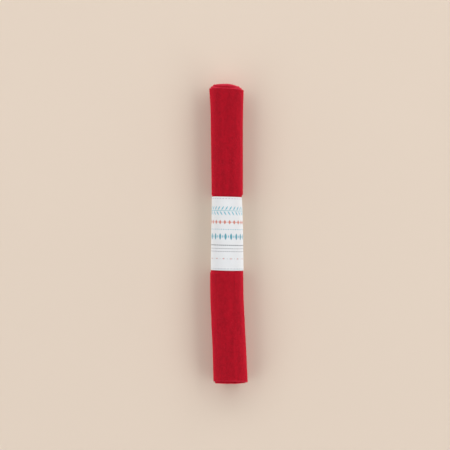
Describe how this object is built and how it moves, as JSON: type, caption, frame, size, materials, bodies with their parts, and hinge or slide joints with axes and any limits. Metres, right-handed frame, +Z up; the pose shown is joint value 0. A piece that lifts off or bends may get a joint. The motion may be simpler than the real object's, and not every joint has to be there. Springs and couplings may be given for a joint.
{
  "type": "roll of felt with a paper band",
  "caption": "Sheet of crimson craft felt wound into a slim roll, its turns open at both ends, held round the middle by a white printed paper band.",
  "frame": {"origin": "on the resting surface, under the middle of the roll's bounding box", "axes": "+Z up from the surface that the roll lies on, +Y along the roll towards the end where its inner turns stick out, +X to the right seen from above"},
  "size_m": [0.0398, 0.3127, 0.0344],
  "materials": {
    "felt": "soft pressed felt, crimson, with a short fuzz",
    "paper": "matt white paper, printed in coral, teal and grey"
  },
  "bodies": {
    "root": {"felt_roll": "felt", "paper_band": "paper"}
  },
  "joints": []
}
